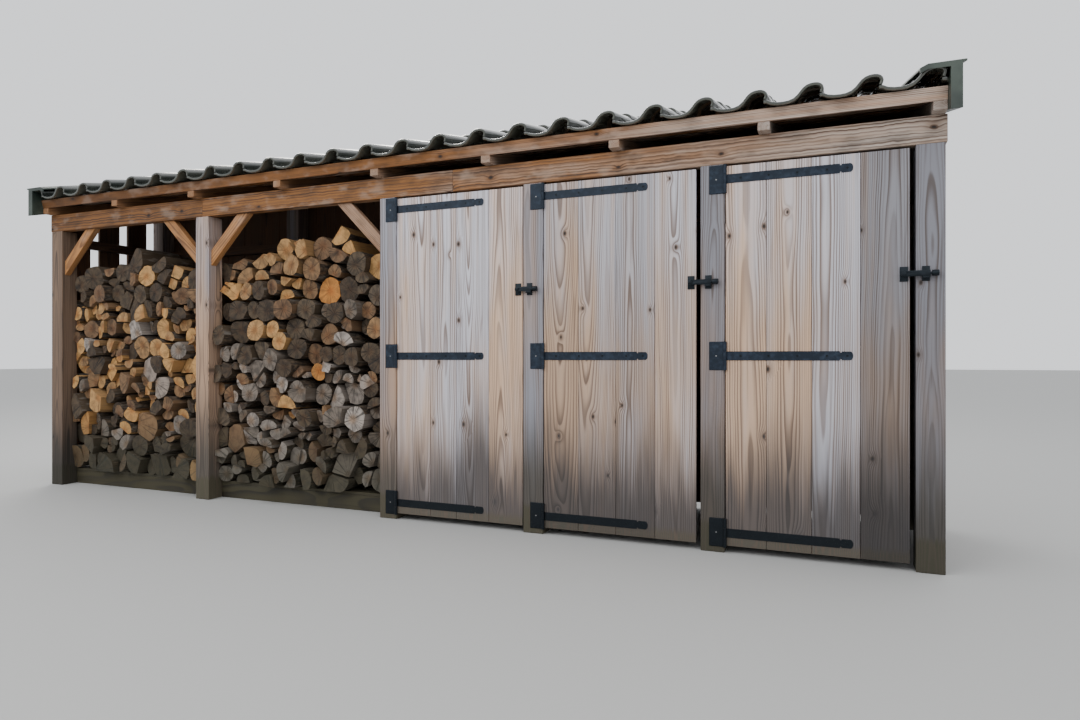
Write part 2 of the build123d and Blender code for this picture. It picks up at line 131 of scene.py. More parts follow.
class Value:
    """A shader value that can stand in a sum with numbers and other values."""

    def __init__(self, finish, socket):
        self.finish = finish
        self.socket = socket

    def also(self, name):
        """Another output of the same node."""
        return Value(self.finish, self.socket.node.outputs[name])

    __add__ = arithmetic("ADD")
    __radd__ = arithmetic("ADD", backwards=True)
    __sub__ = arithmetic("SUBTRACT")
    __rsub__ = arithmetic("SUBTRACT", backwards=True)
    __mul__ = arithmetic("MULTIPLY")
    __rmul__ = arithmetic("MULTIPLY", backwards=True)
    __truediv__ = arithmetic("DIVIDE")
    __pow__ = arithmetic("POWER")


class Finish:
    """A material in the making: its nodes and the surface that they feed."""

    def __init__(self, name):
        self.material = bpy.data.materials.new(name)
        self.material.use_nodes = True
        self.nodes = self.material.node_tree.nodes
        self.links = self.material.node_tree.links
        self.surface = self.nodes["Principled BSDF"]

    def node(self, kind, settings=None, sockets=None, output=0):
        """Add a node of a type, with its settings first and then the values or links of its sockets."""
        made = self.nodes.new("ShaderNode" + kind)
        for name, value in (settings or {}).items():
            if name == "stops":
                self.set_stops(made.color_ramp, value)
            else:
                setattr(made, name, value)
        for name, value in (sockets or {}).items():
            self.set(made.inputs[name], value)
        return Value(self, made.outputs[output])

    def set(self, socket, value):
        """Link a value to a socket, or write a number or colour on it."""
        if isinstance(value, Value):
            self.links.new(value.socket, socket)
        elif socket.type == "RGBA" and len(value) == 3:
            socket.default_value = (*value, 1)
        else:
            socket.default_value = value

    def set_stops(self, ramp, stops):
        while len(ramp.elements) < len(stops):
            ramp.elements.new(1)
        for element, (place, colour) in zip(ramp.elements, stops):
            element.position = place
            element.color = (*colour, 1)

    def mix(self, first, second, share, blend="MIX"):
        """One colour over another."""
        settings = {"data_type": "RGBA", "blend_type": blend}
        return self.node("Mix", settings, {0: share, 6: first, 7: second}, 2)

    def ramp(self, value, stops):
        return self.node("ValToRGB", {"stops": stops}, {0: value})

    def step(self, value, low, high):
        """A smooth step from 0 at low to 1 at high."""
        settings = {"interpolation_type": "SMOOTHSTEP"}
        return self.node("MapRange", settings, {0: value, 1: low, 2: high})

    def vector(self, operation, first, second, output=0):
        sockets = {0: first, "Scale": second} if operation == "SCALE" else {0: first, 1: second}
        return self.node("VectorMath", {"operation": operation}, sockets, output)

    def noise(self, place, scale=1.0, detail=2.0, output=0):
        return self.node("TexNoise", {}, {"Vector": place, "Scale": scale, "Detail": detail}, output)

    def grain(self, place, stretch, detail=2):
        """Noise that is finer across a timber than along it."""
        return self.noise(self.vector("MULTIPLY", place, stretch), detail=detail)

    def one(self, operation, value):
        return self.node("Math", {"operation": operation}, {0: value, 1: 0})

    def xyz(self, x, y=0, z=0):
        return self.node("CombineXYZ", sockets={0: x, 1: y, 2: z})

    def length(self, vector):
        return self.vector("LENGTH", vector, (0, 0, 0), "Value")

    def dim(self, colour, share):
        return self.vector("SCALE", colour, share)

    def sway(self, place, scale, reach):
        """A slow drift of a place across the grain, up to a reach."""
        drift = self.noise(self.vector("MULTIPLY", place, scale), detail=2, output="Color")
        return self.vector("MULTIPLY", self.vector("SUBTRACT", drift, (0.5, 0.5, 0.5)), (0, reach, reach))

    def place(self):
        return self.node("TexCoord", output="Object")

    def height(self):
        """How far each point is above the ground."""
        return self.node("SeparateXYZ", sockets={0: self.place()}, output="Z")

    def mark(self, name, output="Fac"):
        """What a mesh says about itself at each point."""
        return self.node("Attribute", {"attribute_name": name}, output=output)

    def wear(self, colour, roughness, height=None, depth=0.001, fixed=None):
        """Feed the surface: colour, roughness, relief, and what is the same all over."""
        self.set(self.surface.inputs["Base Color"], colour)
        self.set(self.surface.inputs["Roughness"], roughness)
        for name, value in (fixed or {}).items():
            self.set(self.surface.inputs[name], value)
        if height is not None:
            bump = self.node("Bump", {}, {"Strength": 1.0, "Distance": depth, "Height": height})
            self.set(self.surface.inputs["Normal"], bump)
        return self.material


def knots_in(finish, grown, board, knotty):
    """How far each point is from the nearest knot's middle, and whether that knot is there."""
    cell = (2.2, 6.5, 1)
    spot = finish.vector("MULTIPLY", finish.vector("ADD", grown, finish.xyz(0, board * 7)), cell)
    sockets = {"Vector": spot, "Scale": 1.0}
    nearest = finish.node("TexVoronoi", {"voronoi_dimensions": "2D"}, sockets, "Position")
    apart = finish.vector("DIVIDE", finish.vector("SUBTRACT", spot, nearest), cell)
    luck = finish.one("ADD", nearest.also("Color"))
    from_knot = finish.length(finish.vector("MULTIPLY", apart, (0.62, 1, 0))) * (1.9 - luck * 1.3)
    return from_knot, finish.step(luck, knotty, knotty + 0.03)


def year_rings(finish, from_heart, along, board, ring):
    """The late wood of each year, how strongly it shows, and broad bands of many years."""
    uneven = finish.noise(finish.xyz(from_heart * 30, board * 9))
    phase = finish.one("FRACT", from_heart / ring + uneven * 2)
    late = finish.step(phase, 0.25, 0.86) * (1 - finish.step(phase, 0.88, 1.0))
    seasons = finish.noise(finish.xyz(from_heart * 75, board * 5, along * 0.6), detail=1)
    bands = finish.noise(finish.xyz(from_heart * 33, board * 7, along * 0.45), detail=3)
    return late, finish.step(seasons, 0.32, 0.66), bands


def stained(finish, colour, tree, grown, pale_wood, blotches):
    """Dark stains along the grain, and pale patches where the weather has taken the stain off."""
    stain = finish.step(finish.grain(grown, (6, 17, 17), 4), 0.46, 0.66)
    pale = finish.step(finish.grain(tree, (7, 13, 13), 3), 0.5, 0.7)
    colour = finish.mix(colour, finish.dim(colour, 0.42), stain * blotches)
    return finish.mix(colour, pale_wood, pale * 0.8 * blotches)


def knotted(finish, colour, line, from_knot, chosen):
    """Each knot: a stained halo, the knot itself and its dark core."""
    colour = finish.mix(colour, line, (1 - finish.step(from_knot, 0.006, 0.03)) * chosen * 0.4)
    colour = finish.mix(colour, line, (1 - finish.step(from_knot, 0.007, 0.0115)) * chosen * 0.75)
    core = (1 - finish.step(from_knot, 0.0028, 0.0075)) * chosen
    return finish.mix(colour, (0.016, 0.010, 0.007), core * 0.95)


def softwood(
    name, warm, silver, line, ring=0.0065, lines=0.9, waves=0.0, knotty=0.45, patch=0.36, blotches=0.0,
    foot=None, moss=None, wet=0.12,
):
    """Weathered softwood, its rings laid round the heart of the tree that each timber was sawn from.

    Timber that stands on the ground has a splashed foot, mossy up to the height where it stays wet.
    """
    finish = Finish(name)
    tree = finish.mark("tree", "Vector")
    board = finish.mark("board")
    height = finish.height()
    grown = finish.vector("ADD", tree, finish.sway(tree, (1.1, 5, 5), 0.03))
    if waves:
        grown = finish.vector("ADD", grown, finish.sway(tree, (15, 10, 10), waves))
    from_knot, chosen = knots_in(finish, grown, board, knotty)
    swirl = 0.016 * chosen / (1 + (from_knot / 0.026) ** 2) ** 2
    from_heart = finish.length(finish.vector("MULTIPLY", grown, (0, 1, 1))) + swirl
    along = finish.node("SeparateXYZ", sockets={0: tree}, output="X")
    late, strong, bands = year_rings(finish, from_heart, along, board, ring)
    fibre = finish.grain(tree, (7, 260, 260), 3)
    thread = finish.grain(grown, (0.9, 75, 75))
    tint = finish.grain(grown, (1.0, 9, 9), 3)
    bleached = tint * 1.3 + bands * 0.5 + finish.mark("weather")
    if foot is not None:
        upper = finish.step(height, 0.8, 1.9)
        bleached = bleached + upper * 0.45 - 0.28
    colour = finish.mix(warm, silver, finish.step(bleached, 1.36 - patch, 1.36 + patch))
    warmer = finish.mix(warm, colour, 0.4)
    colour = finish.mix(colour, warmer, finish.step(bands + board * 0.1, 0.5, 0.75) * 0.8)
    if foot is not None:
        colour = finish.mix(colour, finish.dim(colour, 1.17), upper)
    colour = finish.mix(colour, line, late * (strong * 0.72 + 0.28) * lines)
    colour = finish.mix(colour, line, finish.step(thread, 0.52, 0.76) * 0.5 * lines)
    colour = finish.mix(colour, (0.5, 0.5, 0.5), (fibre - 0.5) * 0.5 + 0.25, "SOFT_LIGHT")
    if blotches:
        colour = stained(finish, colour, tree, grown, finish.mix(silver, warm, 0.35), blotches)
    colour = knotted(finish, colour, line, from_knot, chosen)
    if foot is not None:
        ragged = (thread - 0.5) * 0.35 + (tint - 0.5) * 0.7 + (board - 0.5) * 0.12
        splashed = 1 - finish.step(height + ragged, 0.2, 0.82)
        colour = finish.mix(colour, finish.mix(foot, finish.dim(foot, 0.5), late * lines), splashed * 0.93)
        mossy = 1 - finish.step(height + (thread - 0.5) * 0.05, wet - 0.03, wet + 0.015)
        colour = finish.mix(colour, finish.mix(moss, line, late * 0.4), mossy * 0.85)
    colour = finish.dim(colour, finish.mark("shade"))
    sunk = (1 - finish.step(from_knot, 0.007, 0.0115)) * chosen
    relief = 0.5 - late * 0.3 * (strong + 0.3) + fibre * 0.4 + thread * 0.3 - sunk * 0.5
    return finish.wear(colour, 0.8 - late * 0.1, relief, 0.0009)


def pick(*pieces):
    """Select these pieces and nothing else."""
    bpy.ops.object.select_all(action="DESELECT")
    for piece in pieces:
        piece.select_set(True)
    bpy.context.view_layer.objects.active = pieces[0]


def start_edit(piece):
    pick(piece)
    bpy.ops.object.mode_set(mode="EDIT")
    bpy.ops.mesh.select_all(action="SELECT")


def select_edges(part, wanted):
    """Leave only the edges selected whose two ends pass a test."""
    mesh = part.data
    for polygon in mesh.polygons:
        polygon.select = False
    for vertex in mesh.vertices:
        vertex.select = False
    for edge in mesh.edges:
        a, b = edge.vertices
        edge.select = wanted(mesh.vertices[a].co, mesh.vertices[b].co)
        if edge.select:
            mesh.vertices[a].select = True
            mesh.vertices[b].select = True


def select_front(part):
    """Leave only the faces selected that face the front."""
    for polygon in part.data.polygons:
        polygon.select = polygon.normal.y < -0.9


def end_edit():
    bpy.ops.object.mode_set(mode="OBJECT")


def start_edit_by(piece, kind):
    """Edit what is selected on a piece, by its edges or by its faces."""
    pick(piece)
    bpy.ops.object.mode_set(mode="EDIT")
    bpy.ops.mesh.select_mode(type=kind)


def end_edit_by():
    bpy.ops.mesh.select_mode(type="VERT")
    end_edit()


def settle(piece):
    """Write the object's place into its mesh."""
    pick(piece)
    bpy.ops.object.transform_apply(location=True, rotation=True, scale=True)


def new_part():
    """The primitive that was just added, with its place in its mesh."""
    part = bpy.context.object
    settle(part)
    return part


def copied(part, matrix):
    """A copy with its own mesh, moved by a matrix."""
    copy = bpy.data.objects.new(part.name, part.data.copy())
    bpy.context.collection.objects.link(copy)
    copy.data.transform(matrix)
    return copy


def joined(parts, name):
    if len(parts) > 1:
        pick(*parts)
        bpy.ops.object.join()
    whole = parts[0]
    whole.name = name
    whole.data.name = name
    return whole


def smooth(part, degrees):
    """Shade a part smooth across all edges that are blunter than an angle."""
    pick(part)
    bpy.ops.object.shade_smooth_by_angle(angle=math.radians(degrees))


def discard(part):
    mesh = part.data
    bpy.data.objects.remove(part)
    bpy.data.meshes.remove(mesh)


def corners(part):
    places = np.array([v.co for v in part.data.vertices])
    return places.min(0), places.max(0)


def solids(node):
    """The separate solids of a CAD node, each a clean mesh of its own, from left to right."""
    whole = bpy.data.objects.new(node + "_solid", frame["nodes"][node].data.copy())
    bpy.context.collection.objects.link(whole)
    whole.data.materials.clear()
    start_edit(whole)
    bpy.ops.mesh.customdata_custom_splitnormals_clear()
    bpy.ops.mesh.remove_doubles(threshold=merge_distance)
    bpy.ops.mesh.dissolve_limited(angle_limit=math.radians(1))
    bpy.ops.mesh.separate(type="LOOSE")
    end_edit()
    return sorted(bpy.context.selected_objects, key=lambda part: tuple(np.round(corners(part)[0], 3)))


def solid_boxes(node):
    """The low and the high corner of each solid of a CAD node."""
    boxes = []
    for part in solids(node):
        boxes.append(corners(part))
        discard(part)
    return boxes


def mark(part, name, values, kind="FLOAT"):
    """Write a value or vector for each point of a mesh."""
    attribute = part.data.attributes.get(name) or part.data.attributes.new(name, kind, "POINT")
    field = "value" if kind == "FLOAT" else "vector"
    attribute.data.foreach_set(field, np.array(values, np.float32).ravel())


def mark_tree(part, draw, heart=None):
    """Give a timber its place in a tree: along the grain, and two ways out from the heart."""
    places = np.array([v.co for v in part.data.vertices])
    middle = (places.min(0) + places.max(0)) / 2
    ways = np.linalg.eigh(np.cov((places - middle).T))[1][:, ::-1].T
    ways = np.array([way * np.sign(way[np.argmax(np.abs(way))]) for way in ways])
    local = (places - middle) @ ways.T
    size = np.ptp(local, axis=0)
    boxed_heart = size[2] > 0.05
    if boxed_heart:
        out = draw.uniform(-0.03, 0.03)
    else:
        out = draw.choice((-1, 1)) * (size[2] / 2 + draw.uniform(0.035, 0.08))
    side = draw.uniform(-0.3, 0.3) * size[1]
    lean = draw.uniform(-0.014, 0.014), draw.uniform(-0.02, 0.02)
    if heart:
        side, out = heart
        lean = lean[0] * 0.7, lean[1]
    elif not boxed_heart:
        lean = lean[0], draw.uniform(-0.03, 0.03)
    tree = np.empty_like(local)
    tree[:, 0] = local[:, 0] + draw.uniform(0, 50)
    tree[:, 1] = local[:, 1] + side + lean[0] * local[:, 0]
    tree[:, 2] = local[:, 2] + out + lean[1] * local[:, 0]
    mark(part, "tree", tree, "FLOAT_VECTOR")
    mark(part, "board", [draw.random()] * len(places))


def hand_over(piece, node):
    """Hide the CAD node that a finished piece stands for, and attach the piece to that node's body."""
    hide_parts(node)
    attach(piece, frame["nodes"][node]["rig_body"])


def dress(piece, node, finish):
    """Give a piece its one finish, and then to the frame."""
    piece.data.materials.clear()
    piece.data.materials.append(finish)
    hand_over(piece, node)


def cut_off(piece, place, way):
    """Saw off what lies beyond a place along the store: to its right if the way is 1, or to its left."""
    start_edit(piece)
    bpy.ops.mesh.bisect(plane_co=(place, 0, 0), plane_no=(way, 0, 0), use_fill=True, clear_outer=True)
    end_edit()


def sawn_at(parts, places):
    """The same timbers, cut through at places along the length of the store."""
    for place in places:
        pieces = []
        for part in parts:
            low, high = corners(part)
            if not low[0] + 0.01 < place < high[0] - 0.01:
                pieces.append(part)
                continue
            other = copied(part, Matrix.Identity(4))
            for piece, way in ((part, 1), (other, -1)):
                cut_off(piece, place, way)
                pieces.append(piece)
        parts = pieces
    return sorted(parts, key=lambda part: tuple(np.round(corners(part)[0], 3)))


def graded(value, places):
    """One value for every place, or one that runs from the left end of the store to the right."""
    if isinstance(value, tuple):
        return [value[0] + (value[1] - value[0]) * place for place in places]
    return [value] * len(places)


def timbers(node, name, finish, arris=0.003, tones=((1, 0.35),), cuts=(), heart=None, seed=""):
    """The sawn timbers of one node, with eased edges, a grain and a tone of their own."""
    draw = random.Random(node + seed)
    parts = sawn_at(solids(node), cuts)
    low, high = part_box(node)
    for i, part in enumerate(parts):
        start_edit(part)
        bpy.ops.mesh.bevel(offset=arris, segments=2, affect="EDGES")
        end_edit()
        mark_tree(part, draw, heart)
        shade, weather = tones[i % len(tones)]
        places = [(v.co.x - low.x) / (high.x - low.x) for v in part.data.vertices]
        mark(part, "weather", graded(weather, places))
        mark(part, "shade", graded(shade, places))
    dress(joined(parts, name), node, finish)


def pantile(length):
    """One tile, its tail at the origin and its crest over X 0, lying up along Y."""
    (left, left_height), (right, _), *section = tile_section
    middle = (left + right) / 2
    bpy.ops.mesh.primitive_plane_add(size=1, location=(middle, length / 2, tile_depth + left_height))
    bpy.context.object.scale = (right - left, length, 1)
    tile = new_part()
    select_edges(tile, lambda a, b: min(a.x, b.x) > middle)
    start_edit_by(tile, "EDGE")
    x, z = right, left_height
    for next_x, next_z in section:
        bpy.ops.mesh.extrude_region_move(TRANSFORM_OT_translate={"value": (next_x - x, 0, next_z - z)})
        x, z = next_x, next_z
    end_edit_by()
    top_count = len(tile.data.vertices)
    shell = tile.modifiers.new("shell", "SOLIDIFY")
    shell.thickness = tile_shell
    shell.offset = -1
    pick(tile)
    bpy.ops.object.modifier_apply(modifier="shell")
    mark(tile, "under", [float(v.index >= top_count) for v in tile.data.vertices])
    start_edit(tile)
    bpy.ops.mesh.normals_make_consistent(inside=False)
    end_edit()
    select_edges(tile, lambda a, b: max(a.y, b.y) < 0.001 and abs(a.x - b.x) > 0.0005)
    start_edit_by(tile, "EDGE")
    bpy.ops.mesh.bevel(offset=0.003, segments=2, affect="EDGES")
    end_edit_by()
    smooth(tile, 38)
    return tile


def roof_course(number, finish):
    """One course of tiles, each a little out of true, cut off square under the verge trims."""
    node = f"roof_course_{number}"
    low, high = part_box(node)
    lay = roof_pitch - math.asin(tile_rise / tile_gauge)
    tail = Vector((0, low.y + math.sin(lay) * tile_depth, low.z))
    length = (high.y - low.y - math.sin(lay) * tile_depth) / math.cos(lay)
    tile = pantile(length)
    draw = random.Random(number)
    crest = high.x - last_crest_inset + tile_pitch
    tiles = []
    while crest > low.x - tile_pitch:
        askew = Matrix.Rotation(math.radians(draw.uniform(-tile_askew, tile_askew)), 4, "Z")
        shift = Vector((crest, draw.uniform(-tile_stagger, tile_stagger), draw.uniform(0, 0.0006)))
        turned = Matrix.Translation(tail) @ Matrix.Rotation(lay, 4, "X")
        placed = copied(tile, turned @ Matrix.Translation(shift) @ askew)
        mark(placed, "board", [draw.random()] * len(placed.data.vertices))
        tiles.append(placed)
        crest -= tile_pitch
    discard(tile)
    course = joined(tiles, f"tile_course_{number}")
    cut_off(course, low.x + 0.0005, -1)
    cut_off(course, high.x - 0.0005, 1)
    dress(course, node, finish)


def glaze():
    """Dark grey-green glaze, clouded and a little dusty."""
    finish = Finish("tile_glaze")
    place = finish.place()
    board = finish.mark("board")
    bloom = finish.noise(place, scale=14.0, detail=4)
    clouds = finish.step(bloom + board * 0.3, 0.45, 0.9)
    colour = finish.mix((0.013, 0.018, 0.015), (0.034, 0.038, 0.030), clouds)
    dust = finish.noise(place, scale=60.0, detail=3)
    colour = finish.mix(colour, (0.08, 0.085, 0.07), finish.step(dust, 0.58, 0.8) * 0.35)
    colour = finish.mix(colour, (0.085, 0.088, 0.072), finish.mark("under") * 0.9)
    rough = 0.14 + finish.step(dust, 0.55, 0.8) * 0.2 + board * 0.05
    shine = {"IOR": 1.45, "Coat Weight": 0.9, "Coat IOR": 1.55, "Coat Roughness": 0.07}
    return finish.wear(colour, rough, bloom * 0.5 + dust * 0.1, 0.0003, shine)


def satin_iron(name, dark, pale):
    """Blue-black powder coat, rubbed a little paler on its grain, with painted shade near the ground and
    real pale dust splashed there.
    """
    finish = Finish(name)
    place = finish.place()
    grit = finish.noise(place, scale=900.0, detail=2)
    rub = finish.noise(place, scale=40.0, detail=3)
    colour = finish.mix(dark, pale, finish.step(rub, 0.4, 0.8))
    # Near the ground: one mask for the painted shade low down and for the real dust splashes there.
    low = 1 - finish.step(finish.height(), 0.25, 0.45)
    splashes = finish.step(finish.noise(place, scale=260.0, detail=2), 0.68, 0.74) * low
    # Painted shade: nearly black below about 0.25 m and fading out by 0.45 m, standing in for the duller
    # reflection low down.
    colour = finish.mix(colour, (0.0025, 0.003, 0.0035), low * 0.95)
    colour = finish.mix(colour, (0.16, 0.16, 0.15), splashes * 0.3)
    rough = 0.42 + finish.step(rub, 0.4, 0.8) * 0.14
    coat = {"Specular IOR Level": 0.28, "Specular Tint": (0.72, 0.86, 1.0)}
    return finish.wear(colour, rough, grit, 0.0001, coat)


def bright_zinc():
    finish = Finish("zinc_screw")
    tarnish = finish.noise(finish.place(), scale=500.0, detail=2)
    colour = finish.mix((0.22, 0.23, 0.24), (0.36, 0.36, 0.36), tarnish)
    return finish.wear(colour, 0.34 + tarnish * 0.2, fixed={"Metallic": 1.0})


def trim_paint():
    """Dark green coated sheet, paler where dust has settled."""
    finish = Finish("green_trim")
    place = finish.place()
    cloud = finish.noise(place, scale=6.0, detail=4)
    specks = finish.noise(place, scale=220.0, detail=2)
    colour = finish.mix((0.016, 0.026, 0.021), (0.050, 0.068, 0.054), finish.step(cloud, 0.35, 0.7))
    colour = finish.mix(colour, (0.12, 0.13, 0.10), finish.step(specks, 0.68, 0.8) * 0.4)
    return finish.wear(colour, 0.38 + cloud * 0.2, specks, 0.0002)


def stack_moss(finish, colour, blotch):
    """Dark green damp that creeps up from the bottom of a stack."""
    damp = 1 - finish.step(finish.height() + (blotch - 0.5) * 0.5, 0.16, 0.62)
    return finish.mix(colour, (0.028, 0.029, 0.015), damp * 0.66)


def bark():
    """Ridged bark, flaking to grey, greener towards the bottom of the stack."""
    finish = Finish("bark")
    tree = finish.mark("tree", "Vector")
    tone = finish.mark("tone")
    ridges = finish.grain(tree, (16, 70, 70), 4)
    flakes = finish.grain(tree, (7, 22, 22), 3)
    bent = finish.vector("ADD", tree, finish.sway(tree, (20, 40, 40), 0.02))
    sockets = {"Vector": finish.vector("MULTIPLY", bent, (12, 46, 46)), "Scale": 1.0}
    plates = finish.node("TexVoronoi", {"feature": "DISTANCE_TO_EDGE"}, sockets)
    grooves = finish.step(plates, 0.0, 0.2)
    colour = finish.mix((0.034, 0.022, 0.013), (0.125, 0.083, 0.050), finish.step(ridges, 0.33, 0.68))
    colour = finish.mix(colour, (0.18, 0.165, 0.14), finish.step(flakes + tone * 0.12, 0.56, 0.74) * 0.6)
    colour = finish.mix((0.165, 0.080, 0.030), colour, finish.step(flakes, 0.28, 0.42) * 0.5 + 0.5)
    colour = finish.mix((0.014, 0.010, 0.007), colour, grooves * 0.6 + 0.4)
    colour = stack_moss(finish, colour, ridges)
    return finish.wear(colour, 0.9, grooves * 0.5 + ridges * 0.9, 0.005)


log_tones = (
    (0.0, (0.062, 0.038, 0.019)),
    (0.14, (0.100, 0.068, 0.038)),
    (0.28, (0.190, 0.155, 0.125)),
    (0.38, (0.400, 0.345, 0.300)),
    (0.46, (0.150, 0.083, 0.042)),
    (0.60, (0.250, 0.140, 0.062)),
    (0.74, (0.390, 0.220, 0.088)),
    (0.88, (0.560, 0.310, 0.108)),
    (1.0, (0.500, 0.200, 0.038)),
)


def cut_end():
    """The sawn end of a log: rings, drying checks that run out from the heart, and saw marks."""
    finish = Finish("cut_end")
    tree = finish.mark("tree", "Vector")
    tone = finish.mark("tone")
    across = finish.vector("MULTIPLY", tree, (0, 1, 1))
    wobble = finish.grain(tree, (3, 18, 18), 3)
    from_heart = finish.length(across) + wobble * 0.016
    phase = finish.one("FRACT", from_heart / 0.0065 + finish.noise(finish.xyz(from_heart * 40, tone * 9)))
    late = finish.step(phase, 0.3, 0.85) * (1 - finish.step(phase, 0.88, 1.0))
    outward = finish.vector("NORMALIZE", across, (0, 0, 0))
    whorl = finish.node("SeparateXYZ", sockets={0: tree}, output="X") * 3
    turned = finish.vector("ADD", finish.vector("SCALE", outward, 2.4), finish.xyz(0, 0, whorl))
    off_ray = finish.one("ABSOLUTE", finish.noise(turned) - 0.5)
    check = (1 - finish.step(off_ray, 0.004, 0.018)) * (1 - tone * 0.6)
    colour = finish.ramp(tone, log_tones)
    blotch = finish.grain(tree, (5, 26, 26), 4)
    grime = finish.step(blotch, 0.36, 0.7) * (0.95 - tone * 0.4)
    colour = finish.mix(colour, finish.dim(colour, 0.32), grime)
    colour = finish.mix(colour, finish.dim(colour, 0.55), late * 0.4)
    sapwood = finish.step(from_heart, 0.018, 0.055)
    colour = finish.mix(finish.vector("MULTIPLY", colour, (0.80, 0.60, 0.42)), colour, sapwood * 0.8 + 0.2)
    colour = finish.mix(colour, (0.010, 0.007, 0.005), check * 0.9)
    saw = finish.grain(tree, (0, 30, 420))
    colour = stack_moss(finish, colour, blotch)
    return finish.wear(colour, 0.82, late * 0.2 + saw * 0.4 + blotch * 0.3 - check * 2, 0.0015)


def split_face():
    """The torn side of a split log, with its fibres running its length."""
    finish = Finish("split_face")
    tree = finish.mark("tree", "Vector")
    tone = finish.mark("tone")
    fibres = finish.grain(tree, (5, 120, 120), 4)
    tears = finish.grain(tree, (8, 40, 40), 3)
    colour = finish.dim(finish.ramp(tone, log_tones), 0.7)
    colour = finish.mix(colour, (0.075, 0.048, 0.028), finish.step(fibres, 0.48, 0.75) * 0.55)
    colour = finish.mix(colour, (0.25, 0.225, 0.20), finish.step(tears, 0.52, 0.78) * (1 - tone) * 0.6)
    colour = stack_moss(finish, colour, tears)
    return finish.wear(colour, 0.85, fibres * 0.6 + tears, 0.003)


def shares(node):
    """The outline, front and back of each log's share of a stack."""
    found = []
    for part in solids(node):
        points = [v.co.copy() for v in part.data.vertices]
        front = min(p.y for p in points)
        outline = [Vector((p.x, p.z)) for p in points if p.y < front + 0.001]
        middle = sum(outline, Vector((0, 0))) / len(outline)
        outline.sort(key=lambda p: math.atan2(p.y - middle.y, p.x - middle.x))
        found.append((outline, front, max(p.y for p in points)))
        discard(part)
    return found


def halves(outline, draw):
    """A share cut in two along a line through its middle."""
    middle = sum(outline, Vector((0, 0))) / len(outline)
    angle = draw.uniform(0, math.pi)
    normal = Vector((math.cos(angle), math.sin(angle)))
    middle += normal * draw.uniform(-0.01, 0.01)
    sides = ([], [])
    for a, b in zip(outline, outline[1:] + outline[:1]):
        da = (a - middle).dot(normal)
        db = (b - middle).dot(normal)
        sides[da > 0].append(a)
        if da * db < 0:
            crossing = a + (b - a) * da / (da - db)
            sides[0].append(crossing)
            sides[1].append(crossing)
    return [(side, -normal if i else normal) for i, side in enumerate(sides)]


def reach(outline, middle, way):
    """How far it is from the middle of a convex outline to its edge, one way."""
    best = 1.0
    for a, b in zip(outline, outline[1:] + outline[:1]):
        edge = b - a
        normal = Vector((edge.y, -edge.x)).normalized()
        gap = (a - middle).dot(normal)
        speed = way.dot(normal)
        if speed > 0.001:
            best = min(best, gap / speed)
    return best


def log_blank(finishes):
    """A plain billet along Y, one unit in radius and length, with a ring of bark round its front end."""
    bpy.ops.mesh.primitive_cylinder_add(
        vertices=log_sides, radius=1, depth=1, end_fill_type="NGON", rotation=(math.pi / 2, 0, 0)
    )
    blank = new_part()
    for finish in finishes:
        blank.data.materials.append(finish)
    start_edit(blank)
    bpy.ops.mesh.bisect(plane_co=(0, log_ring, 0), plane_no=(0, 1, 0))
    end_edit()
    select_front(blank)
    start_edit_by(blank, "FACE")
    bpy.ops.mesh.inset(thickness=bark_thickness)
    end_edit_by()
    return blank


# Logs that stand out: where each shows in the photograph (photo_x, photo_y), how fresh its end is,
# and whether it is split
known_logs = (
    (329, 296, 1.0, False), (274, 339, 0.84, False), (322, 379, 0.98, False), (321, 254, 0.50, False),
    (347, 270, 0.12, False), (300, 280, 0.56, False), (371, 342, 0.64, False), (299, 351, 0.05, False),
    (341, 353, 0.10, False), (227, 313, 0.07, False), (252, 327, 0.78, False), (221, 289, 0.90, True),
    (256, 267, 0.72, True), (241, 345, 0.28, True), (362, 380, 0.40, True), (232, 397, 0.38, True),
    (360, 406, 0.36, False), (356, 441, 0.30, False), (320, 428, 0.10, True), (351, 316, 0.24, False),
    (177, 260, 0.64, True), (181, 274, 0.80, True), (139, 280, 0.84, False), (163, 324, 0.84, True),
    (165, 345, 0.86, True), (136, 330, 0.38, True), (80, 320, 0.84, True), (96, 327, 0.94, True),
    (72, 416, 0.25, False), (125, 437, 0.40, True), (160, 376, 0.41, True), (183, 380, 0.80, True),
    (91, 417, 0.93, True), (134, 421, 0.90, True), (120, 262, 0.03, False), (185, 298, 0.50, False),
    (141, 303, 0.13, False),
)


def seen_at(photo_x, photo_y, depth):
    """The place (x, z) on an upright plane at a depth that shows at a place in the photograph."""
    turn = math.radians(camera_turn)
    across = (photo_x - photo_width / 2 + right_of_photo) / focal_pixels
    up = (photo_height / 2 - horizon_above_middle - photo_y) / focal_pixels
    far = (depth - camera_place[1]) / (math.cos(turn) + math.sin(turn) * across)
    x = camera_place[0] + far * (math.cos(turn) * across - math.sin(turn))
    return Vector((x, camera_place[2] + far * up))


# How often logs are dark, grey, brown or fresh above each height, from the top of a stack down
left_bay_tones = ((1.38, (12, 0.2, 2, 0.3)), (0.62, (3, 0.8, 4, 7)), (0, (7, 1, 4, 0.5)))
right_bay_tones = ((1.45, (2, 0.5, 3, 6)), (0.95, (7, 1.5, 3, 1.5)), (0, (4, 7, 2, 0.5)))


def log_tone(height, left_bay, draw):
    """How fresh a log's ends look, by its place in the stack."""
    tones = [draw.uniform(0.0, 0.1 if left_bay else 0.22)]
    tones += [draw.uniform(low, high) for low, high in ((0.24, 0.38), (0.46, 0.6), (0.64, 0.9))]
    for above, weights in left_bay_tones if left_bay else right_bay_tones:
        if height > above:
            return draw.choices(tones, weights)[0]


def split_chance(height, left_bay):
    """How likely a log is to be split, by its place in the stack."""
    if left_bay:
        return 0.88 if height < 1.4 else 0.35
    return 0.75 if height < 0.95 or height > 1.5 else 0.2


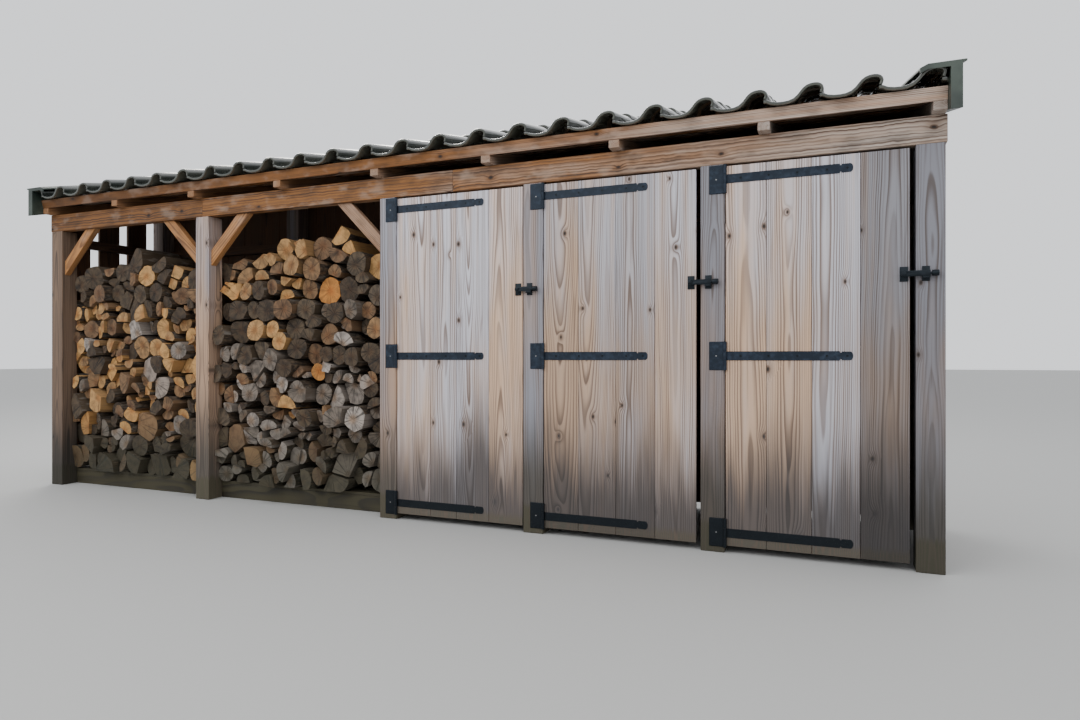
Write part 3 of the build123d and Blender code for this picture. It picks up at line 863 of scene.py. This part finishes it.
def known_log(outline, front):
    """The tone of a log that stands out in the photograph and whether it is split, or None."""
    found = None
    for photo_x, photo_y, tone, is_split in known_logs:
        if is_inside(outline, seen_at(photo_x, photo_y, front)):
            found = tone, is_split
    return found


def trunk(outline, bark_side, draw):
    """The middle of a log's share, the heart of its tree, and the centre and radius of its bark."""
    middle = sum(outline, Vector((0, 0))) / len(outline)
    if bark_side is None:
        ways = [Vector((math.cos(a), math.sin(a))) for a in np.linspace(0, 6.2, 32)]
        for _ in range(6):
            gaps = [reach(outline, middle, way) for way in ways]
            tightest = gaps.index(min(gaps))
            middle -= ways[tightest] * (max(gaps) - min(gaps)) * 0.06
        arc = min(reach(outline, middle, way) for way in ways) * draw.uniform(1.06, 1.18)
        heart = middle + Vector((draw.uniform(-0.01, 0.01), draw.uniform(-0.01, 0.01)))
        return middle, heart, middle, arc
    inward = reach(outline, middle, -bark_side)
    centre = middle - bark_side * inward * draw.uniform(0.7, 1.15)
    arc = (reach(outline, middle, bark_side) + (middle - centre).length) * draw.uniform(0.9, 0.99)
    return middle, centre, centre, arc


def finish_faces(log, barky):
    """Bark round the outside, split wood where the log was split, and cut ends."""
    for polygon in log.data.polygons:
        sides = len(polygon.vertices)
        if sides <= 4 and sum(barky[i] for i in polygon.vertices) >= sides - 1:
            polygon.material_index = bark_place
        elif sides > 4 or abs(polygon.normal.y) > 0.9:
            polygon.material_index = cut_place
        else:
            polygon.material_index = split_place


def fitted_log(blank, outline, front, length, bark_side, tone, draw):
    """A copy of the billet, shaped to its share: a round one if it has no split side, or else a wedge."""
    middle, heart, centre, arc = trunk(outline, bark_side, draw)
    log = copied(blank, Matrix.Identity(4))
    turns = [k * 2 * math.pi / log_sides for k in range(log_sides)]
    for corner in outline:
        if bark_side is not None and (corner - centre).length < arc:
            angle = math.atan2(corner.y - middle.y, corner.x - middle.x)
            turns[round(angle / (2 * math.pi) * log_sides) % log_sides] = angle
    slack = draw.uniform(0.001, 0.004)
    lump = Vector((draw.uniform(0, 99), draw.uniform(0, 99)))
    lean = Vector((draw.uniform(-0.11, 0.11), draw.uniform(-0.08, 0.08)))
    cut = Vector((draw.uniform(-0.2, 0.2), draw.uniform(-0.16, 0.16)))
    offset = middle - centre
    tree = []
    barky = {}
    for vertex in log.data.vertices:
        way = Vector((vertex.co.x, vertex.co.z))
        share = way.length
        turn = turns[round(math.atan2(way.y, way.x) / (2 * math.pi) * log_sides) % log_sides]
        way = Vector((math.cos(turn), math.sin(turn)))
        edge = reach(outline, middle, way) - slack
        toward = way.dot(offset)
        to_arc = -toward + math.sqrt(max(0, toward * toward - offset.length_squared + arc * arc))
        barky[vertex.index] = to_arc < edge * 1.02
        bulge = Vector((way.x * 1.7 + lump.x, way.y * 1.7 + lump.y, vertex.co.y * 2))
        swell = 1 + 0.09 * noise.noise(bulge)
        radius = min(edge, to_arc * swell)
        if bark_side is not None and not barky[vertex.index]:
            torn = noise.noise(Vector((way.x * 2.3 + lump.y, way.y * 2.3, vertex.co.y * 3)))
            radius = edge * (1 - 0.06 * abs(torn))
        along = vertex.co.y + 0.5
        place = middle + way * radius * share + lean * (along - 0.5) * length * 0.5
        depth = front + along * length
        if along < 0.02:
            depth += cut.dot(way) * radius * share
        vertex.co = Vector((place.x, depth, place.y))
        tree.append((depth + lump.x, place.x - heart.x, place.y - heart.y))
    finish_faces(log, barky)
    mark(log, "tree", tree, "FLOAT_VECTOR")
    mark(log, "tone", [tone] * len(tree))
    return log


def split_pieces(outline, is_split, draw):
    """The pieces in one share, each with the way its bark faces, or None for a round log."""
    if not is_split:
        return [(outline, None)]
    width = max(p.x for p in outline) - min(p.x for p in outline)
    drop = max(p.y for p in outline) - min(p.y for p in outline)
    if min(width, drop) > 0.105 and draw.random() < 0.8:
        pieces = halves(outline, draw)
        if draw.random() < 0.35:
            outline, bark_side = pieces.pop()
            pieces += [(part, bark_side) for part, _ in halves(outline, draw)]
        return pieces
    angle = draw.uniform(0, 2 * math.pi)
    return [(outline, Vector((math.cos(angle), math.sin(angle))))]


def firewood(node, name, finishes, seed):
    """One stack: a front row of rounds and split logs, each in its share, and a plainer row behind."""
    draw = random.Random(seed)
    blank = log_blank(finishes)
    logs = []
    left_bay = node == "log_stack_left"
    for outline, front, back in shares(node):
        height = sum(corner.y for corner in outline) / len(outline)
        tone = log_tone(height, left_bay, draw)
        is_split = draw.random() < split_chance(height, left_bay)
        known = known_log(outline, front)
        if known:
            tone, is_split = known
        most_forward = -0.004 if height > brace_foot else -0.032
        for piece_outline, bark_side in split_pieces(outline, is_split, draw):
            if len(piece_outline) < 3:
                continue
            start = front + draw.uniform(most_forward, 0.04)
            piece_tone = tone if known or bark_side is None else log_tone(height, left_bay, draw)
            length = front_row_length
            logs.append(fitted_log(blank, piece_outline, start, length, bark_side, piece_tone, draw))
        start = front + front_row_length + row_gap
        logs.append(fitted_log(blank, outline, start, back - start, None, draw.uniform(0.0, 0.4), draw))
    discard(blank)
    stack = joined(logs, name)
    smooth(stack, 32)
    hand_over(stack, node)


def is_inside(outline, place):
    """Whether a place lies within a convex outline."""
    return all(
        (a - place).cross(b - place) > 0 for a, b in zip(outline, outline[1:] + outline[:1])
    )


def hinge_strap(pin, level, end):
    """The long leaf of a T hinge: a rounded end, a neck, shoulders, the bar and its knuckle."""
    bulb = end - bulb_round
    bpy.ops.mesh.primitive_circle_add(
        vertices=24,
        radius=bulb_round,
        fill_type="NGON",
        location=(bulb, pin.y + knuckle_radius, level),
        rotation=(math.pi / 2, 0, 0),
    )
    bpy.context.object.scale = (1, bulb_half / bulb_round, 1)
    strap = new_part()
    start_edit(strap)
    bpy.ops.mesh.bisect(plane_co=(bulb, 0, 0), plane_no=(-1, 0, 0), clear_outer=True, use_fill=False)
    end_edit()
    select_edges(strap, lambda a, b: max(a.x, b.x) < bulb + 0.0001)
    start_edit_by(strap, "EDGE")
    notch = end - bulb_length
    steps = (
        (notch + 0.001, bulb_half),
        (notch - 0.002, neck_height / 2),
        (notch - neck_length + 0.002, neck_height / 2),
        (notch - neck_length, strap_height / 2),
        (pin.x, strap_height / 2),
    )
    for x, half in steps:
        bpy.ops.mesh.extrude_region_move(TRANSFORM_OT_translate={"value": (-0.0001, 0, 0)})
        end_edit()
        moved = [v for v in strap.data.vertices if v.select]
        spread = max(abs(v.co.z - level) for v in moved)
        for vertex in moved:
            vertex.co.x = x
            vertex.co.z = level + (vertex.co.z - level) * half / spread
        bpy.ops.object.mode_set(mode="EDIT")
    bpy.ops.mesh.select_mode(type="VERT")
    bpy.ops.mesh.select_all(action="SELECT")
    bpy.ops.mesh.dissolve_limited(angle_limit=math.radians(1))
    bpy.ops.mesh.select_all(action="SELECT")
    bpy.ops.mesh.extrude_region_move(TRANSFORM_OT_translate={"value": (0, -iron_thickness, 0)})
    bpy.ops.mesh.select_all(action="SELECT")
    bpy.ops.mesh.normals_make_consistent(inside=False)
    end_edit()
    ease(strap, 0.0006)
    return strap


def ease(part, width, segments=1):
    """Take the sharpness off a part's edges."""
    edges = part.modifiers.new("ease", "BEVEL")
    edges.width = width
    edges.segments = segments
    edges.limit_method = "ANGLE"
    edges.angle_limit = math.radians(35)
    pick(part)
    bpy.ops.object.modifier_apply(modifier="ease")


def knuckle(pin, low, high):
    bpy.ops.mesh.primitive_cylinder_add(
        vertices=20, radius=knuckle_radius, depth=high - low, location=(pin.x, pin.y, (low + high) / 2)
    )
    part = new_part()
    ease(part, 0.0008)
    smooth(part, 40)
    return part


def plate(low, high, round_corners=0.003):
    """A flat iron plate between two corners, its four long corners rounded."""
    low, high = Vector(low), Vector(high)
    bpy.ops.mesh.primitive_cube_add(size=1, location=(low + high) / 2, scale=high - low)
    part = new_part()
    for edge in part.data.edges:
        a, b = (part.data.vertices[i].co for i in edge.vertices)
        edge.select = abs(a.y - b.y) > 0.0005
    start_edit_by(part, "EDGE")
    bpy.ops.mesh.bevel(offset=round_corners, segments=2, affect="EDGES")
    end_edit_by()
    ease(part, 0.0005)
    return part


def screw_head(radius):
    """A pan-headed screw that faces the front, with a sunk slot ring."""
    bpy.ops.mesh.primitive_cylinder_add(
        vertices=12, radius=radius, depth=screw_seat * 2, rotation=(math.pi / 2, 0, 0)
    )
    head = new_part()
    select_front(head)
    start_edit_by(head, "FACE")
    bpy.ops.mesh.inset(thickness=0.0012)
    bpy.ops.transform.translate(value=(0, -0.0008, 0))
    bpy.ops.mesh.inset(thickness=0.0014)
    bpy.ops.transform.translate(value=(0, 0.0011, 0))
    end_edit_by()
    return head


def screws(head, places, material):
    parts = []
    for place in places:
        copy = copied(head, Matrix.Translation(place))
        copy.data.materials.clear()
        copy.data.materials.append(material)
        parts.append(copy)
    return parts


def hinge_leaves(iron, zinc):
    """The plates on the posts, with a knuckle above and below each strap's."""
    head = screw_head(plate_screw_radius)
    parts = []
    for low, high in solid_boxes("hinge_plates"):
        pin = Vector((high[0] - knuckle_radius, high[1] - knuckle_radius))
        middle = (low[2] + high[2]) / 2
        face = high[1] - iron_thickness
        parts.append(plate((low[0], face, low[2]), (pin.x - knuckle_radius * 0.4, high[1], high[2])))
        gap = strap_height / 2 + 0.001
        parts.append(knuckle(pin, low[2], middle - gap))
        parts.append(knuckle(pin, middle + gap, high[2]))
        for part in parts[-3:]:
            part.data.materials.append(iron)
        centre = Vector(((low[0] + pin.x - knuckle_radius) / 2, face - screw_seat, middle))
        parts += screws(head, [centre], zinc)
        for z in (low[2] + plate_screw_inset, high[2] - plate_screw_inset):
            sides = (-plate_screw_spread, plate_screw_spread)
            parts += screws(head, [Vector((centre.x + side, centre.y, z)) for side in sides], iron)
    discard(head)
    hand_over(joined(parts, "hinge_leaves"), "hinge_plates")


def door_straps(number, iron, dark):
    """The three straps of a door, with their knuckles and screws."""
    node = f"door_{number}_straps"
    head = screw_head(screw_radius)
    parts = []
    for low, high in solid_boxes(node):
        pin = Vector((low[0] + knuckle_radius, high[1] - knuckle_radius))
        level = (low[2] + high[2]) / 2
        parts.append(hinge_strap(pin, level, high[0]))
        parts.append(knuckle(pin, level - strap_height / 2, level + strap_height / 2))
        for part in parts[-2:]:
            part.data.materials.append(iron)
        face = high[1] - iron_thickness - screw_seat
        places = [Vector((high[0] - bulb_length / 2, face, level))]
        x = high[0] - first_screw_inset
        while x > pin.x + 0.03:
            places.append(Vector((x, face, level)))
            x -= screw_step
        parts += screws(head, places, dark)
    discard(head)
    hand_over(joined(parts, f"door_{number}_hinge_straps"), node)


def ironwork(node, name, iron, arris=0.0008):
    """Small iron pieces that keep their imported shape, with eased edges."""
    parts = solids(node)
    for part in parts:
        ease(part, arris, 2)
        smooth(part, 32)
        part.data.materials.append(iron)
    hand_over(joined(parts, name), node)


def verge(side, finish):
    """The trim over one end of the roof."""
    node = f"verge_trim_{side}"
    parts = solids(node)
    for part in parts:
        ease(part, 0.0015, 2)
    dress(joined(parts, f"verge_cap_{side}"), node, finish)


def studio_floor():
    """A plain pale floor under a plain pale sky."""
    bpy.ops.mesh.primitive_plane_add(size=120)
    floor = new_part()
    floor.name = "floor"
    floor.data.materials.append(Finish("studio_floor").wear((0.42, 0.42, 0.41), 0.8))
    world = bpy.data.worlds.new("studio")
    world.use_nodes = True
    background = world.node_tree.nodes["Background"]
    background.inputs["Color"].default_value = (0.95, 0.97, 1.0, 1)
    background.inputs["Strength"].default_value = 1.25
    bpy.context.scene.world = world


def studio_light(name, place, aim, size, power, colour=(1, 1, 1)):
    """One soft square light, which the camera doesn't see."""
    light = bpy.data.lights.new(name, "AREA")
    light.size = size
    light.energy = power
    light.color = colour
    lamp = bpy.data.objects.new(name, light)
    bpy.context.collection.objects.link(lamp)
    lamp.visible_camera = False
    lamp.location = place
    lamp.rotation_euler = (Vector(aim) - Vector(place)).to_track_quat("-Z", "Y").to_euler()
    return lamp


def studio_lights():
    """Soft light from above and in front, and a bright sky behind that only shines on the glaze."""
    studio_light("key", (-3.0, -7.0, 6.5), (0.2, 0, 1.2), 6.0, 330)
    studio_light("fill", (6.5, -6.0, 5.0), (0.5, 0, 1.2), 5.0, 120)
    studio_light("top", (0, 1.5, 7.0), (0, 0, 2.0), 8.0, 200)
    gleam = studio_light("sky_gleam", (-8.3, 8.9, 9.3), (-0.8, 0, 2.0), 7.5, 2900, (1.0, 0.96, 0.88))
    gleam.visible_diffuse = False


def photo_camera():
    """The photograph's camera."""
    lens = bpy.data.cameras.new("camera")
    camera = bpy.data.objects.new("camera", lens)
    bpy.context.collection.objects.link(camera)
    lens.lens = focal_pixels / photo_width * lens.sensor_width
    lens.shift_x = right_of_photo / photo_width
    lens.shift_y = -horizon_above_middle / photo_width
    camera.location = camera_place
    camera.rotation_euler = (math.pi / 2, 0, math.radians(camera_turn))
    bpy.context.scene.camera = camera


studio_floor()
studio_lights()
photo_camera()

post_wood = softwood(
    "post_wood", (0.41, 0.265, 0.175), (0.275, 0.275, 0.31), (0.095, 0.062, 0.044), ring=0.0075,
    foot=(0.070, 0.061, 0.050), moss=(0.052, 0.049, 0.026), wet=0.16,
)
beam_wood = softwood(
    "beam_wood", (0.34, 0.140, 0.036), (0.52, 0.43, 0.36), (0.062, 0.022, 0.007),
    ring=0.017, lines=1.0, waves=0.014, knotty=0.5, patch=0.3, blotches=0.6,
)
brace_wood = softwood(
    "brace_wood", (0.44, 0.20, 0.065), (0.44, 0.33, 0.26), (0.13, 0.052, 0.018), knotty=0.8, blotches=0.45,
)
batten_wood = softwood(
    "batten_wood", (0.30, 0.118, 0.028), (0.48, 0.385, 0.32), (0.075, 0.028, 0.008),
    ring=0.007, patch=0.3, blotches=0.6,
)
rafter_wood = softwood(
    "rafter_wood", (0.34, 0.17, 0.075), (0.44, 0.37, 0.32), (0.14, 0.070, 0.035), knotty=0.8,
)
door_wood = softwood(
    "door_wood", (0.555, 0.375, 0.255), (0.475, 0.470, 0.515), (0.135, 0.082, 0.055), ring=0.0075,
    foot=(0.064, 0.057, 0.057), moss=(0.070, 0.063, 0.046), wet=0.095,
)
dark_wood = softwood(
    "dark_wood", (0.094, 0.036, 0.011), (0.085, 0.052, 0.030), (0.024, 0.010, 0.005), knotty=0.6,
)
deck_wood = softwood(
    "deck_wood", (0.042, 0.035, 0.015), (0.046, 0.041, 0.024), (0.014, 0.011, 0.005), knotty=0.6,
)
tile_glaze = glaze()
black_iron = satin_iron("black_iron", (0.009, 0.0125, 0.0205), (0.024, 0.034, 0.053))
latch_iron = satin_iron("latch_iron", (0.003, 0.004, 0.005), (0.012, 0.015, 0.019))
screw_iron = satin_iron("screw_iron", (0.0012, 0.0015, 0.002), (0.004, 0.005, 0.006))
zinc = bright_zinc()
green_trim = trim_paint()
log_finishes = [bark(), split_face(), cut_end()]

# How light each timber is and how far it has greyed, from left to right
post_tones = ((0.40, -0.8), (1.05, 0.35), (0.98, 0.55), (0.90, 1.9), (0.70, 0.7), (0.64, 0.9))
beam_tones = ((0.60, (-1.2, 0.7)), (0.74, (-0.15, 0.7)), (0.84, (-0.65, 0.72)))
brace_tones = ((0.95, 0.0), (0.9, 0.0), (1.0, 0.05), (0.85, 0.4))
batten_tones = (((0.47, 1.3), (-0.8, 0.8)),)
door_tones = (
    ((1.14, 0.62), (1.10, 0.80), (1.12, 0.95), (1.10, 0.42)),
    ((0.82, 0.40), (0.86, 0.60), (0.80, 0.75), (0.96, 0.55)),
    ((1.02, 0.36), (0.98, 0.55), (0.98, 0.90), (0.44, 0.80)),
)
beam_joints = (-1.47, 0.507)
beam_heart = (0.115, 0.02)
batten_heart = (0.07, 0.02)

for i in range(1, 7):
    post = f"front_post_{i}"
    timbers(post, f"{post}_timber", post_wood, 0.004, post_tones[i - 1:i])
timbers("rear_posts", "rear_post_timbers", post_wood, 0.004, ((0.6, 0.4),))
timbers(
    "front_beam", "front_beam_timber", beam_wood, 0.004, beam_tones, beam_joints, beam_heart,
)
timbers("rear_beam", "rear_beam_timber", beam_wood, 0.004, ((0.7, 0.3),))
timbers("knee_braces", "knee_brace_timbers", brace_wood, tones=brace_tones)
timbers("rafters", "rafter_timbers", rafter_wood, tones=((0.9, (-0.1, 0.8)),))
timbers(
    "eaves_batten", "eaves_batten_timber", batten_wood, tones=batten_tones, heart=batten_heart,
)
timbers("roof_battens", "roof_batten_timbers", batten_wood)
timbers("end_rails", "end_rail_timbers", dark_wood)
timbers("back_rails", "back_rail_timbers", dark_wood)
timbers("left_slats", "left_slat_boards", dark_wood, 0.002)
timbers("right_boards", "right_end_boards", dark_wood, 0.002)
timbers("back_boards", "back_wall_boards", dark_wood, 0.002)
timbers("floor_bearers", "bearer_timbers", deck_wood)
timbers("floor_boards", "deck_boards", deck_wood, 0.002)
for i in range(1, 4):
    door = f"door_{i}"
    tones = door_tones[i - 1]
    timbers(f"{door}_boards", f"{door}_leaf_boards", door_wood, 0.0015, tones, seed="oak")
    timbers(f"{door}_ledges", f"{door}_ledge_boards", door_wood, 0.002)
    door_straps(i, black_iron, screw_iron)
    ironwork(f"{door}_latch_plate", f"{door}_latch_bracket", latch_iron)
    ironwork(f"latch_bar_{i}", f"latch_{i}_bar", latch_iron)
hinge_leaves(black_iron, zinc)
ironwork("latch_catches", "latch_catch_brackets", latch_iron)
for i in range(1, 5):
    roof_course(i, tile_glaze)
verge("left", green_trim)
verge("right", green_trim)
firewood("log_stack_left", "firewood_left", log_finishes, 5)
firewood("log_stack_right", "firewood_right", log_finishes, 11)
